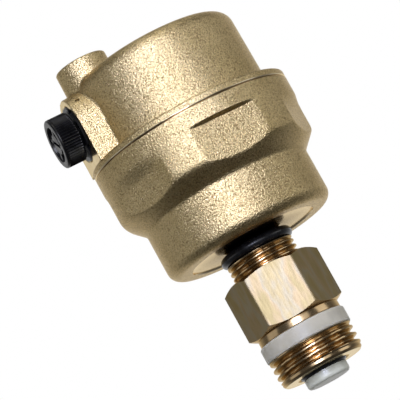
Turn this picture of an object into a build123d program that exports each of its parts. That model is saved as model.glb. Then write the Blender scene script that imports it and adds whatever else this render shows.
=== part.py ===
"""Automatic air vent for a heating system, screwed onto its own shut-off valve.

Frame: +Z runs up the vent's axis and z = 0 is the lower end face of the G1/2 thread.
The side boss with the air valve and its knurled cap points along -X. Sizes are in mm.
"""
from math import cos, radians, sin, sqrt, tan
import os

from build123d import *

os.makedirs("parts", exist_ok=True)

# ---------------------------------------------------------------- driving dimensions
SIDE_GAP = 0.05  # assembly clearance between neighbouring fixed pieces

# pipe threads: major radius and pitch of G1/2 and G3/8
G12_R, G12_PITCH = 20.955 / 2, 1.814
G38_R, G38_PITCH = 16.662 / 2, 1.337
THREAD_DEPTH_RATIO = 0.6403  # depth of a 55 degree pipe thread over its pitch
CREST_RATIO = 0.17  # crest width over pitch

# shut-off valve body
THREAD_TOP = 6.6
G12_FIRST_GROOVE, G12_GROOVES = 2.1, 3
RING_TOP = 10.6
RING_GROOVE_R, RING_R, RING_EDGE = 9.2, 10.75, 0.45
SHANK_R = 10.25
HEX_FLATS = 21.0
HEX_LOW, HEX_HIGH = 12.3, 26.1
LEAD_IN = 1.2  # chamfer at the end of the G1/2 thread
HEX_TURN = -15.6  # turns the hexagon about the axis, degrees
HEX_BEVEL_R, HEX_BEVEL_REACH = 10.2, 2.2
HEX_BEVEL_RISE = HEX_BEVEL_REACH * tan(radians(30))
SEAT_MOUTH_R, SEAT_THROAT_R, SEAT_HEIGHT = 6.6, 4.5, 2.4
WEB_TOP = 7.0
SPRING_BORE_R = 6.5
SOCKET_LOW = 13.5
SOCKET_R = G38_R + SIDE_GAP
SOCKET_LEAD_IN = 0.9

# shutter and its spring
SHUTTER_LOW = -3.0
SHUTTER_HEAD_R = 5.35
SHUTTER_EDGE = 0.8  # radius of the head's rounded edge
SHUTTER_RING_WIRE = 1.0  # radius of the O-ring's section
SHUTTER_RING_Z = 0.4
SHUTTER_HUB_R = 4.25
FIN_THICKNESS = 1.2
STEM_R = 2.2
STEM_NECK_R = 1.7
RETAINER_LOW, RETAINER_STEP, RETAINER_HIGH = 18.0, 18.8, 19.4
RETAINER_R = 6.2
RETAINER_HOLES, RETAINER_HOLE_R, RETAINER_HOLE_CIRCLE_R = 4, 0.95, 3.75
SPRING_WIRE_R = 0.35
SPRING_COIL_R = 4.65
SPRING_TURNS = 5.5

# spigot, float chamber
SPIGOT_END = 19.5
SPIGOT_BORE_R = 5.0
SPIGOT_THREAD_TOP = 30.3
SPIGOT_LEAD_IN = 0.9
G38_FIRST_GROOVE, G38_GROOVES = SPIGOT_END + 1.6, 7
NECK_R = 6.55
NECK_RING_WIRE = 1.25
NECK_RING_Z = 31.8
CHAMBER_LOW = 33.6
FACE_R, FACE_RECESS = 15.6, 0.3
CHAMBER_R = 20.85
CONE_LOW, CONE_HIGH = 46.2, 50.4
FLANGE_R = 25.0
SEAM_Z = 63.1
FLOOR_TOP = 36.2
CHAMBER_BORE_R = 18.65
SKIRT_BORE_R, SKIRT_FLOOR = 21.4, 54.6
FLAT_COUNT = 6
FLAT_HALF_ANGLE = 20.0
FLAT_LOW, FLAT_HIGH = 46.6, 59.0
FLAT_CUT_DEPTH, FLAT_CUT_WIDTH = 6.0, 24.0
FLAT_TURN = -26.2  # first wrench flat's direction, degrees
FLAT_APOTHEM = FLANGE_R * cos(radians(FLAT_HALF_ANGLE))

# cover
FLANGE_TOP = 64.9
COVER_BASE_R, COVER_TOP_R = 20.85, 20.55
COVER_TOP = 84.3
COVER_EDGE = 3.5
COVER_BORE_R = 18.5
COVER_ROOF, ROOF_SLOPE = 82.0, 2.5
SKIRT_R, SKIRT_LOW = 21.3, 55.0
COVER_RING_WIRE = 0.65
COVER_RING_Z = 61.8
COVER_RING_GROOVE_R = 20.0
COVER_RING_GROOVE_HALF = COVER_RING_WIRE + 0.1

# side boss, on an axis parallel to X
BOSS_Z = 74.0
BOSS_HALF_WIDTH = 9.0
BOSS_FRONT, BOSS_BACK = -24.15, -10.0
BOSS_FOOT = FLANGE_TOP - 0.2
BLOCK_R, BLOCK_OUTER, BLOCK_INNER = 8.6, -18.6, -8.6
INSERT_BORE_R = 6.88
CHIMNEY_X = -15.6
CHIMNEY_R, CHIMNEY_BORE_R = 6.45, 3.5
CHIMNEY_TOP = 88.85
CHIMNEY_EDGE = 0.5

# air valve insert and cap
INSERT_R = 6.83
INSERT_FRONT = -24.4
CHANNEL_OUTER, CHANNEL_INNER, CHANNEL_R = -19.7, -11.7, 5.0
STEM_BORE_R, STEM_BORE_END = 3.2, -13.5
ORIFICE_R = 0.7
NOZZLE_R, NOZZLE_TIP = 1.6, -8.0
INSERT_RING_WIRE = 0.75
INSERT_RING_FLOOR = INSERT_R - 1.5
INSERT_RING_GROOVE_HALF = INSERT_RING_WIRE + 0.1
INSERT_EDGE = 0.3
PORT_R = 1.3
KEY_SLOTS, KEY_SLOT_LENGTH, KEY_SLOT_WIDTH, KEY_SLOT_DEPTH = 4, 1.6, 1.4, 0.9
OUTER_RING_X, INNER_RING_X = -21.3, -10.3
KNOB_R, KNOB_OUTER, KNOB_INNER = 6.03, -29.8, -24.9
KNURL_LENGTH, KNURL_COUNT, KNURL_DEPTH = 3.3, 54, 0.24
KNOB_EDGE, KNOB_BACK_STEP = 0.35, 0.2
KNOB_RECESS_R, KNOB_HUB_R, KNOB_RECESS_DEPTH = 4.2, 2.6, 0.8
KNOB_SLOT_LENGTH, KNOB_SLOT_WIDTH, KNOB_SLOT_DEPTH, KNOB_SLOT_TURN = 4.4, 0.9, 0.7, 35
CAP_STEM_R, CAP_TIP_R, CAP_NOSE_R = 3.1, 1.9, 1.0
CAP_RING_WIRE = 0.5
CAP_RING_X = -20.5
CAP_RING_GROOVE_HALF, CAP_RING_GROOVE_DEPTH = 0.6, 1.0

# float, hook and lever
FLOAT_R = 17.0
FLOAT_LOW, FLOAT_LID, FLOAT_HIGH = 38.0, 57.5, 59.5
FLOAT_WALL = 1.0
LID_LIP, LID_LIP_DEPTH = 1.0, 1.5
HOOK_X = 4.6
HOOK_THICKNESS, HOOK_WIDTH = 1.0, 8.4
HOOK_FOOT_LENGTH, HOOK_FOOT_WIDTH = 7.0, 10.0
HOOK_BRIDGE = 1.2  # height of the hook above the lever's window
PIVOT_X, PIVOT_Z = -6.0, 69.8
PIN_R, PIN_HALF_LENGTH = 0.8, 4.6
LEVER_OPEN, LEVER_SHUT = -14.0, 6.0  # slope of the lever's arm, degrees
LEVER_THICKNESS, LEVER_WIDTH, LEVER_LENGTH = 1.2, 5.0, 12.4
LEVER_HUB_R, LEVER_POST_FRONT = 2.0, 0.3
PAD_R, PAD_THICKNESS = 1.9, 1.0
PAD_BACK = 0.9  # the pad's back face, from the pivot, when the valve is shut
BRACKET_SIZE, BRACKET_CORNER, BRACKET_THICKNESS = 11.6, 1.5, 0.8
BRACKET_DROP = 1.2  # how far the bracket's plate stands below the boss's axis
BRACKET_HOLE_R = 2.9
LEVER_SLOT_LENGTH, LEVER_SLOT_HEIGHT = 8.0, 6.0
EAR_R, EAR_OUTER_Y, EAR_INNER_Y = 1.8, 4.0, LEVER_WIDTH / 2 + 0.3
SCREW_PLACES = ((-3.4, 2.3), (3.4, 2.3))  # Y and Z from the boss's axis
SCREW_R, SCREW_HEAD_R, SCREW_HEAD_HEIGHT, SCREW_DEPTH = 0.6, 1.0, 0.7, 1.9

boss_axis = Axis((0, 0, BOSS_Z), (1, 0, 0))
# local x runs along +X and local y away from the boss's axis
boss_plane = Plane(origin=(0, 0, BOSS_Z), x_dir=(1, 0, 0), z_dir=(0, -1, 0))


# ---------------------------------------------------------------- helpers
def turned(*points, mode=Mode.ADD):
    """Turn a closed outline of (radius, height) points about the vent's axis."""
    with BuildSketch(Plane.XZ) as outline:
        with BuildLine():
            Polyline(*points, close=True)
        make_face()
    revolve(outline.sketch, axis=Axis.Z, mode=mode)


def boss_turned(*points, mode=Mode.ADD):
    """Turn a closed outline of (x, radius) points about the side boss's axis."""
    with BuildSketch(boss_plane) as outline:
        with BuildLine():
            Polyline(*points, close=True)
        make_face()
    revolve(outline.sketch, axis=boss_axis, mode=mode)


def cut_thread(radius, pitch, first, count):
    """Cut V grooves round a shaft, the first one centred at the height first."""
    depth = THREAD_DEPTH_RATIO * pitch
    crest_half = (1 - CREST_RATIO) * pitch / 2
    root_half = CREST_RATIO * pitch / 2
    with BuildSketch(Plane.XZ) as grooves:
        for turn in range(count):
            z = first + turn * pitch
            with BuildLine():
                Polyline(
                    (radius - depth, z - root_half),
                    (radius, z - crest_half),
                    (radius + 1, z - crest_half),
                    (radius + 1, z + crest_half),
                    (radius, z + crest_half),
                    (radius - depth, z + root_half),
                    close=True,
                )
            make_face()
    revolve(grooves.sketch, axis=Axis.Z, mode=Mode.SUBTRACT)


def o_ring(axis, plane, along, centre_r, wire_r):
    """Turn an O-ring; along is its place on the axis in the given sketch plane."""
    with BuildSketch(plane) as section:
        with Locations((along, centre_r) if plane is boss_plane else (centre_r, along)):
            Circle(wire_r)
    revolve(section.sketch, axis=axis)


# ---------------------------------------------------------------- shut-off valve body
with BuildPart() as valve_body:
    with BuildSketch(Plane.XY.offset(HEX_LOW)):
        RegularPolygon(HEX_FLATS / 2, 6, major_radius=False, rotation=HEX_TURN)
    extrude(amount=HEX_HIGH - HEX_LOW)
    turned(
        (0, HEX_LOW),
        (HEX_BEVEL_R, HEX_LOW),
        (HEX_BEVEL_R + HEX_BEVEL_REACH, HEX_LOW + HEX_BEVEL_RISE),
        (HEX_BEVEL_R + HEX_BEVEL_REACH, HEX_HIGH - HEX_BEVEL_RISE),
        (HEX_BEVEL_R, HEX_HIGH),
        (0, HEX_HIGH),
        mode=Mode.INTERSECT,
    )
    turned(
        (0, 0),
        (G12_R - LEAD_IN, 0),
        (G12_R, LEAD_IN),
        (G12_R, THREAD_TOP),
        (RING_GROOVE_R, THREAD_TOP),
        (RING_GROOVE_R, RING_TOP),
        (SHANK_R, RING_TOP),
        (SHANK_R, HEX_LOW),
        (0, HEX_LOW),
    )
    cut_thread(G12_R, G12_PITCH, G12_FIRST_GROOVE, G12_GROOVES)
    turned(
        (0, 0),
        (SEAT_MOUTH_R, 0),
        (SEAT_THROAT_R, SEAT_HEIGHT),
        (SEAT_THROAT_R, WEB_TOP),
        (SPRING_BORE_R, WEB_TOP),
        (SPRING_BORE_R, SOCKET_LOW),
        (SOCKET_R, SOCKET_LOW),
        (SOCKET_R, HEX_HIGH - SOCKET_LEAD_IN),
        (SOCKET_R + SOCKET_LEAD_IN, HEX_HIGH),
        (0, HEX_HIGH),
        mode=Mode.SUBTRACT,
    )
valve_body.part.label = "valve_body"

with BuildPart() as sealing_ring:
    turned(
        (RING_GROOVE_R + SIDE_GAP, THREAD_TOP + SIDE_GAP),
        (RING_R, THREAD_TOP + SIDE_GAP),
        (RING_R, RING_TOP - SIDE_GAP),
        (RING_GROOVE_R + SIDE_GAP, RING_TOP - SIDE_GAP),
    )
    outer_edges = sealing_ring.edges().filter_by(GeomType.CIRCLE).sort_by(SortBy.RADIUS)[-2:]
    fillet(outer_edges, radius=RING_EDGE)
sealing_ring.part.label = "sealing_ring"

# ---------------------------------------------------------------- shutter
# the O-ring rests 0.03 off the conical seat
seat_run = SEAT_MOUTH_R - SEAT_THROAT_R
seat_length = sqrt(seat_run**2 + SEAT_HEIGHT**2)
shutter_ring_r = (
    SEAT_MOUTH_R
    - (SHUTTER_RING_WIRE + 0.03) * seat_length / SEAT_HEIGHT
    - SHUTTER_RING_Z * seat_run / SEAT_HEIGHT
)
ring_groove_r = shutter_ring_r - SHUTTER_RING_WIRE - 0.02
ring_groove_low = SHUTTER_RING_Z - SHUTTER_RING_WIRE - 0.04
ring_groove_high = SHUTTER_RING_Z + SHUTTER_RING_WIRE + 0.04

with BuildPart() as shutter:
    turned(
        (0, SHUTTER_LOW),
        (SHUTTER_HEAD_R, SHUTTER_LOW),
        (SHUTTER_HEAD_R, ring_groove_low),
        (ring_groove_r, ring_groove_low),
        (ring_groove_r, ring_groove_high),
        (SHUTTER_HUB_R, ring_groove_high),
        (SHUTTER_HUB_R, SEAT_HEIGHT - 0.3),
        (STEM_R, SEAT_HEIGHT - 0.3),
        (STEM_R, RETAINER_LOW - 0.05),
        (STEM_NECK_R, RETAINER_LOW - 0.05),
        (STEM_NECK_R, RETAINER_STEP + 0.05),
        (STEM_R - 0.1, RETAINER_STEP + 0.05),
        (STEM_NECK_R - 0.2, RETAINER_HIGH - 0.1),
        (0, RETAINER_HIGH - 0.1),
    )
    head_edge = shutter.edges().filter_by(GeomType.CIRCLE).group_by(Axis.Z)[0]
    fillet(head_edge, radius=SHUTTER_EDGE)
    fin_steps = (
        (ring_groove_high, WEB_TOP - 0.2, SEAT_THROAT_R - 0.1),
        (WEB_TOP - 0.2, RETAINER_LOW - 0.4, SPRING_COIL_R - SPRING_WIRE_R - 0.4),
    )
    for fin_low, fin_high, fin_r in fin_steps:
        with BuildSketch(Plane.XY.offset(fin_low)):
            Rectangle(2 * fin_r, FIN_THICKNESS)
            Rectangle(FIN_THICKNESS, 2 * fin_r)
        extrude(amount=fin_high - fin_low)
shutter.part.label = "shutter"

with BuildPart() as shutter_o_ring:
    o_ring(Axis.Z, Plane.XZ, SHUTTER_RING_Z, shutter_ring_r, SHUTTER_RING_WIRE)
shutter_o_ring.part.label = "shutter_o_ring"

with BuildPart() as spring_retainer:
    turned(
        (STEM_NECK_R + 0.05, RETAINER_LOW),
        (RETAINER_R, RETAINER_LOW),
        (RETAINER_R, RETAINER_HIGH),
        (STEM_R + 0.2, RETAINER_HIGH),
        (STEM_R + 0.2, RETAINER_STEP),
        (STEM_NECK_R + 0.05, RETAINER_STEP),
    )
    with BuildSketch(Plane.XY.offset(RETAINER_LOW)):
        with PolarLocations(RETAINER_HOLE_CIRCLE_R, RETAINER_HOLES, start_angle=45):
            Circle(RETAINER_HOLE_R)
    extrude(amount=RETAINER_HIGH - RETAINER_LOW, mode=Mode.SUBTRACT)
spring_retainer.part.label = "spring_retainer"

spring_low = WEB_TOP + SPRING_WIRE_R + 0.03
spring_height = RETAINER_LOW - WEB_TOP - 2 * (SPRING_WIRE_R + 0.03)
with BuildPart() as shutter_spring:
    with BuildLine() as coil:
        Helix(
            pitch=spring_height / SPRING_TURNS,
            height=spring_height,
            radius=SPRING_COIL_R,
            center=(0, 0, spring_low),
        )
    with BuildSketch(Plane(origin=coil.line @ 0, z_dir=coil.line % 0)):
        Circle(SPRING_WIRE_R)
    sweep(path=coil.line, is_frenet=True)
shutter_spring.part.label = "shutter_spring"

# ---------------------------------------------------------------- spigot and float chamber
with BuildPart() as spigot_o_ring:
    o_ring(Axis.Z, Plane.XZ, NECK_RING_Z, NECK_R + SIDE_GAP + NECK_RING_WIRE, NECK_RING_WIRE)
spigot_o_ring.part.label = "spigot_o_ring"

with BuildPart() as float_chamber:
    with BuildSketch(Plane.XZ):
        with BuildLine() as chamber_outline:
            FilletPolyline(
                (SPIGOT_BORE_R, SPIGOT_END),
                (G38_R - SPIGOT_LEAD_IN, SPIGOT_END),
                (G38_R, SPIGOT_END + SPIGOT_LEAD_IN),
                (G38_R, SPIGOT_THREAD_TOP),
                (NECK_R, SPIGOT_THREAD_TOP + 0.3),
                (NECK_R, CHAMBER_LOW + FACE_RECESS),
                (FACE_R, CHAMBER_LOW + FACE_RECESS),
                (FACE_R, CHAMBER_LOW),
                (CHAMBER_R, CHAMBER_LOW),
                (CHAMBER_R, CONE_LOW),
                (FLANGE_R, CONE_HIGH),
                (FLANGE_R, SEAM_Z),
                (SKIRT_BORE_R, SEAM_Z),
                radius=(0, 0, 0, 0, 0.3, 0, 0, 2.6, 1.5, 3.0, 0.25),
            )
            Polyline(
                (SKIRT_BORE_R, SEAM_Z),
                (SKIRT_BORE_R, SKIRT_FLOOR),
                (CHAMBER_BORE_R, SKIRT_FLOOR),
                (CHAMBER_BORE_R, FLOOR_TOP),
                (SPIGOT_BORE_R, FLOOR_TOP),
                (SPIGOT_BORE_R, SPIGOT_END),
            )
        make_face()
    revolve(axis=Axis.Z)
    cut_thread(G38_R, G38_PITCH, G38_FIRST_GROOVE, G38_GROOVES)
    with BuildSketch(Plane.XY.offset(FLAT_LOW)):
        with PolarLocations(FLAT_APOTHEM + FLAT_CUT_DEPTH / 2, FLAT_COUNT, start_angle=FLAT_TURN):
            Rectangle(FLAT_CUT_DEPTH, FLAT_CUT_WIDTH)
    extrude(amount=FLAT_HIGH - FLAT_LOW, mode=Mode.SUBTRACT)
float_chamber.part.label = "float_chamber"

# ---------------------------------------------------------------- cover
with BuildPart() as cover:
    with BuildSketch(Plane.XZ):
        with BuildLine():
            FilletPolyline(
                (0, SKIRT_LOW),
                (SKIRT_R, SKIRT_LOW),
                (SKIRT_R, SEAM_Z + 0.02),
                (FLANGE_R, SEAM_Z + 0.02),
                (FLANGE_R, FLANGE_TOP),
                (COVER_BASE_R, FLANGE_TOP),
                (COVER_TOP_R, COVER_TOP),
                (0, COVER_TOP),
                radius=(0.3, 0, 0.25, 0.5, 0.6, COVER_EDGE),
            )
            Line((0, COVER_TOP), (0, SKIRT_LOW))
        make_face()
    revolve(axis=Axis.Z)
    # arch-shaped boss, its flanks running down to the flange
    boss_front_plane = Plane(origin=(BOSS_FRONT, 0, BOSS_Z), x_dir=(0, 1, 0), z_dir=(1, 0, 0))
    with BuildSketch(boss_front_plane):
        Circle(BOSS_HALF_WIDTH)
        with Locations((0, (BOSS_FOOT - BOSS_Z) / 2)):
            Rectangle(2 * BOSS_HALF_WIDTH, BOSS_Z - BOSS_FOOT)
    extrude(amount=BOSS_BACK - BOSS_FRONT)
    with BuildSketch(Plane.XY.offset(BOSS_Z)):
        with Locations((CHIMNEY_X, 0)):
            Circle(CHIMNEY_R)
    extrude(amount=CHIMNEY_TOP - BOSS_Z)
    chimney_rim = cover.edges().filter_by(GeomType.CIRCLE).group_by(Axis.Z)[-1]
    fillet(chimney_rim, radius=CHIMNEY_EDGE)
    # float space, then the block that carries the air valve inside it
    turned(
        (0, SKIRT_LOW - 1),
        (COVER_BORE_R, SKIRT_LOW - 1),
        (COVER_BORE_R, COVER_ROOF - ROOF_SLOPE),
        (COVER_BORE_R - ROOF_SLOPE, COVER_ROOF),
        (0, COVER_ROOF),
        mode=Mode.SUBTRACT,
    )
    boss_turned((BLOCK_OUTER, 0), (BLOCK_OUTER, BLOCK_R), (BLOCK_INNER, BLOCK_R), (BLOCK_INNER, 0))
    boss_turned(
        (BOSS_FRONT - 1, 0),
        (BOSS_FRONT - 1, INSERT_BORE_R),
        (BLOCK_INNER + 1, INSERT_BORE_R),
        (BLOCK_INNER + 1, 0),
        mode=Mode.SUBTRACT,
    )
    with BuildSketch(Plane.XY.offset(BOSS_Z)):
        with Locations((CHIMNEY_X, 0)):
            Circle(CHIMNEY_BORE_R)
    extrude(amount=CHIMNEY_TOP - BOSS_Z + 1, mode=Mode.SUBTRACT)
    # groove for the cover's O-ring
    turned(
        (COVER_RING_GROOVE_R, COVER_RING_Z - COVER_RING_GROOVE_HALF),
        (SKIRT_R + 1, COVER_RING_Z - COVER_RING_GROOVE_HALF),
        (SKIRT_R + 1, COVER_RING_Z + COVER_RING_GROOVE_HALF),
        (COVER_RING_GROOVE_R, COVER_RING_Z + COVER_RING_GROOVE_HALF),
        mode=Mode.SUBTRACT,
    )
cover.part.label = "cover"

with BuildPart() as cover_o_ring:
    o_ring(
        Axis.Z,
        Plane.XZ,
        COVER_RING_Z,
        COVER_RING_GROOVE_R + 0.04 + COVER_RING_WIRE,
        COVER_RING_WIRE,
    )
cover_o_ring.part.label = "cover_o_ring"

# ---------------------------------------------------------------- air valve insert
with BuildPart() as valve_insert:
    boss_turned(
        (INSERT_FRONT, STEM_BORE_R + INSERT_EDGE),
        (INSERT_FRONT, INSERT_R - INSERT_EDGE),
        (INSERT_FRONT + INSERT_EDGE, INSERT_R),
        (OUTER_RING_X - INSERT_RING_GROOVE_HALF, INSERT_R),
        (OUTER_RING_X - INSERT_RING_GROOVE_HALF, INSERT_RING_FLOOR),
        (OUTER_RING_X + INSERT_RING_GROOVE_HALF, INSERT_RING_FLOOR),
        (OUTER_RING_X + INSERT_RING_GROOVE_HALF, INSERT_R),
        (CHANNEL_OUTER, INSERT_R),
        (CHANNEL_OUTER, CHANNEL_R),
        (CHANNEL_INNER, CHANNEL_R),
        (CHANNEL_INNER, INSERT_R),
        (INNER_RING_X - INSERT_RING_GROOVE_HALF, INSERT_R),
        (INNER_RING_X - INSERT_RING_GROOVE_HALF, INSERT_RING_FLOOR),
        (INNER_RING_X + INSERT_RING_GROOVE_HALF, INSERT_RING_FLOOR),
        (INNER_RING_X + INSERT_RING_GROOVE_HALF, INSERT_R),
        (BLOCK_INNER, INSERT_R),
        (BLOCK_INNER, NOZZLE_R + 0.5),
        (NOZZLE_TIP, NOZZLE_R),
        (NOZZLE_TIP, ORIFICE_R),
        (STEM_BORE_END, ORIFICE_R),
        (STEM_BORE_END, STEM_BORE_R),
        (INSERT_FRONT + INSERT_EDGE, STEM_BORE_R),
    )
    # port from the stem bore up to the channel below the chimney
    with BuildSketch(Plane.XY.offset(BOSS_Z)):
        with Locations((CHIMNEY_X, 0)):
            Circle(PORT_R)
    extrude(amount=CHANNEL_R + 1, mode=Mode.SUBTRACT)
    with BuildSketch(Plane(origin=(BLOCK_INNER, 0, BOSS_Z), x_dir=(0, 1, 0), z_dir=(1, 0, 0))):
        with Locations(*SCREW_PLACES):
            Circle(SCREW_R + 0.02)
    extrude(amount=-SCREW_DEPTH, mode=Mode.SUBTRACT)
    # key slots in the front face
    with BuildSketch(Plane(origin=(INSERT_FRONT, 0, BOSS_Z), x_dir=(0, 1, 0), z_dir=(1, 0, 0))):
        with PolarLocations(INSERT_R - 0.4, KEY_SLOTS, start_angle=45):
            Rectangle(KEY_SLOT_LENGTH, KEY_SLOT_WIDTH)
    extrude(amount=KEY_SLOT_DEPTH, mode=Mode.SUBTRACT)
valve_insert.part.label = "valve_insert"

with BuildPart() as insert_o_rings:
    for ring_x in (OUTER_RING_X, INNER_RING_X):
        o_ring(boss_axis, boss_plane, ring_x, INSERT_BORE_R - 0.02 - INSERT_RING_WIRE, INSERT_RING_WIRE)
insert_o_rings.part.label = "insert_o_rings"

# ---------------------------------------------------------------- vent cap
with BuildPart() as vent_cap:
    boss_turned(
        (KNOB_OUTER, 0),
        (KNOB_OUTER, KNOB_R - KNOB_EDGE),
        (KNOB_OUTER + KNOB_EDGE, KNOB_R),
        (KNOB_OUTER + KNURL_LENGTH, KNOB_R),
        (KNOB_OUTER + KNURL_LENGTH, KNOB_R - KNOB_BACK_STEP),
        (KNOB_INNER, KNOB_R - KNOB_BACK_STEP),
        (KNOB_INNER, CAP_STEM_R),
        (CAP_RING_X - CAP_RING_GROOVE_HALF, CAP_STEM_R),
        (CAP_RING_X - CAP_RING_GROOVE_HALF, CAP_STEM_R - CAP_RING_GROOVE_DEPTH),
        (CAP_RING_X + CAP_RING_GROOVE_HALF, CAP_STEM_R - CAP_RING_GROOVE_DEPTH),
        (CAP_RING_X + CAP_RING_GROOVE_HALF, CAP_STEM_R),
        (CAP_RING_X + 1.4, CAP_STEM_R),
        (CAP_RING_X + 1.9, CAP_TIP_R),
        (STEM_BORE_END - 1.0, CAP_TIP_R),
        (STEM_BORE_END - 0.1, CAP_NOSE_R),
        (STEM_BORE_END - 0.1, 0),
    )
    knob_face = Plane(origin=(KNOB_OUTER, 0, BOSS_Z), x_dir=(0, 1, 0), z_dir=(1, 0, 0))
    with BuildSketch(knob_face):
        with PolarLocations(KNOB_R, KNURL_COUNT):
            Rectangle(KNURL_DEPTH * sqrt(2), KNURL_DEPTH * sqrt(2), rotation=45)
    extrude(amount=KNURL_LENGTH, mode=Mode.SUBTRACT)
    with BuildSketch(knob_face):
        Circle(KNOB_RECESS_R)
        Circle(KNOB_HUB_R, mode=Mode.SUBTRACT)
    extrude(amount=KNOB_RECESS_DEPTH, mode=Mode.SUBTRACT)
    with BuildSketch(knob_face):
        Rectangle(KNOB_SLOT_LENGTH, KNOB_SLOT_WIDTH, rotation=KNOB_SLOT_TURN)
    extrude(amount=KNOB_SLOT_DEPTH, mode=Mode.SUBTRACT)
vent_cap.part.label = "vent_cap"

with BuildPart() as cap_o_ring:
    o_ring(boss_axis, boss_plane, CAP_RING_X, STEM_BORE_R - 0.03 - CAP_RING_WIRE, CAP_RING_WIRE)
cap_o_ring.part.label = "cap_o_ring"

# ---------------------------------------------------------------- float
with BuildPart() as float_shell:
    turned(
        (0, FLOAT_LOW),
        (FLOAT_R - 1.5, FLOAT_LOW),
        (FLOAT_R, FLOAT_LOW + 1.5),
        (FLOAT_R, FLOAT_LID),
        (FLOAT_R - FLOAT_WALL, FLOAT_LID),
        (FLOAT_R - FLOAT_WALL, FLOAT_LOW + 2.2),
        (FLOAT_R - 2.2, FLOAT_LOW + FLOAT_WALL),
        (0, FLOAT_LOW + FLOAT_WALL),
    )
float_shell.part.label = "float_shell"

lip_r = FLOAT_R - FLOAT_WALL - SIDE_GAP
with BuildPart() as float_lid:
    turned(
        (0, FLOAT_LID),
        (lip_r - LID_LIP, FLOAT_LID),
        (lip_r - LID_LIP, FLOAT_LID - LID_LIP_DEPTH),
        (lip_r, FLOAT_LID - LID_LIP_DEPTH),
        (lip_r, FLOAT_LID + 0.02),
        (FLOAT_R, FLOAT_LID + 0.02),
        (FLOAT_R, FLOAT_HIGH - 1),
        (FLOAT_R - 1, FLOAT_HIGH),
        (0, FLOAT_HIGH),
    )
float_lid.part.label = "float_lid"

# ---------------------------------------------------------------- lever and hook
arm_run = HOOK_X - PIVOT_X
arm_height_open = PIVOT_Z + arm_run * tan(radians(LEVER_OPEN))
arm_height_shut = PIVOT_Z + arm_run * tan(radians(LEVER_SHUT))
float_travel = arm_height_shut - arm_height_open
arm_half = LEVER_THICKNESS / 2 / cos(radians(LEVER_OPEN))
window_half = arm_half + HOOK_THICKNESS / 2 * tan(radians(-LEVER_OPEN)) + 0.25

with BuildPart() as float_hook:
    with BuildSketch(Plane.XY.offset(FLOAT_HIGH + 0.02)):
        with Locations((HOOK_X, 0)):
            RectangleRounded(HOOK_FOOT_LENGTH, HOOK_FOOT_WIDTH, 1)
    extrude(amount=1)
    hook_plane = Plane(origin=(HOOK_X, 0, 0), x_dir=(0, 1, 0), z_dir=(1, 0, 0))
    hook_high = arm_height_open + window_half + HOOK_BRIDGE
    with BuildSketch(hook_plane):
        with Locations((0, (FLOAT_HIGH + 0.5 + hook_high) / 2)):
            Rectangle(HOOK_WIDTH, hook_high - FLOAT_HIGH - 0.5)
        with Locations((0, arm_height_open)):
            Rectangle(LEVER_WIDTH + 0.8, 2 * window_half, mode=Mode.SUBTRACT)
    extrude(amount=HOOK_THICKNESS / 2, both=True)
float_hook.part.label = "float_hook"

# the lever is drawn as it stands when shut, on a plane turned back to its open slope
swing = LEVER_SHUT - LEVER_OPEN
lever_plane = Plane(
    origin=(PIVOT_X, 0, PIVOT_Z),
    x_dir=(cos(radians(swing)), 0, -sin(radians(swing))),
    z_dir=(0, -1, 0),
)
pad_height = BOSS_Z - PIVOT_Z
shut_direction = (cos(radians(LEVER_SHUT)), sin(radians(LEVER_SHUT)))
with BuildPart() as lever:
    with BuildSketch(lever_plane):
        Circle(LEVER_HUB_R)
        with BuildLine():
            Polyline(
                (-PAD_BACK, 0),
                (LEVER_POST_FRONT, 0),
                (LEVER_POST_FRONT, pad_height + PAD_R),
                (-PAD_BACK, pad_height + PAD_R),
                close=True,
            )
        make_face()
        with Locations((LEVER_LENGTH / 2 * shut_direction[0], LEVER_LENGTH / 2 * shut_direction[1])):
            Rectangle(LEVER_LENGTH, LEVER_THICKNESS, rotation=LEVER_SHUT)
        Circle(PIN_R + SIDE_GAP, mode=Mode.SUBTRACT)
    extrude(amount=LEVER_WIDTH / 2, both=True)
lever.part.label = "lever"

with BuildPart() as lever_pad:
    pad_origin = lever_plane.from_local_coords((-PAD_BACK - 0.02, pad_height, 0))
    with BuildSketch(Plane(origin=pad_origin, x_dir=(0, 1, 0), z_dir=-lever_plane.x_dir)):
        Circle(PAD_R)
    extrude(amount=PAD_THICKNESS)
lever_pad.part.label = "lever_pad"

pivot_plane = Plane(origin=(PIVOT_X, 0, PIVOT_Z), x_dir=(1, 0, 0), z_dir=(0, -1, 0))
with BuildPart() as lever_pin:
    with BuildSketch(pivot_plane):
        Circle(PIN_R)
    extrude(amount=PIN_HALF_LENGTH, both=True)
lever_pin.part.label = "lever_pin"

with BuildPart() as lever_bracket:
    plate_x = BLOCK_INNER + 0.02
    with BuildSketch(Plane(origin=(plate_x, 0, BOSS_Z), x_dir=(0, 1, 0), z_dir=(1, 0, 0))):
        with Locations((0, -BRACKET_DROP)):
            RectangleRounded(BRACKET_SIZE, BRACKET_SIZE, BRACKET_CORNER)
        Circle(BRACKET_HOLE_R, mode=Mode.SUBTRACT)
        with Locations(*SCREW_PLACES):
            Circle(SCREW_R + 0.05, mode=Mode.SUBTRACT)
    extrude(amount=BRACKET_THICKNESS)
    ear_run = PIVOT_X - plate_x
    with BuildSketch(pivot_plane):
        with Locations((-ear_run / 2, 0)):
            Rectangle(ear_run, 2 * EAR_R)
        Circle(EAR_R)
        Circle(PIN_R + 0.01, mode=Mode.SUBTRACT)
    extrude(amount=EAR_OUTER_Y, both=True)
    # the lever's slot between the ears, cut through the plate as well
    with BuildSketch(pivot_plane):
        Rectangle(LEVER_SLOT_LENGTH, LEVER_SLOT_HEIGHT)
    extrude(amount=EAR_INNER_Y, both=True, mode=Mode.SUBTRACT)
lever_bracket.part.label = "lever_bracket"

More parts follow.
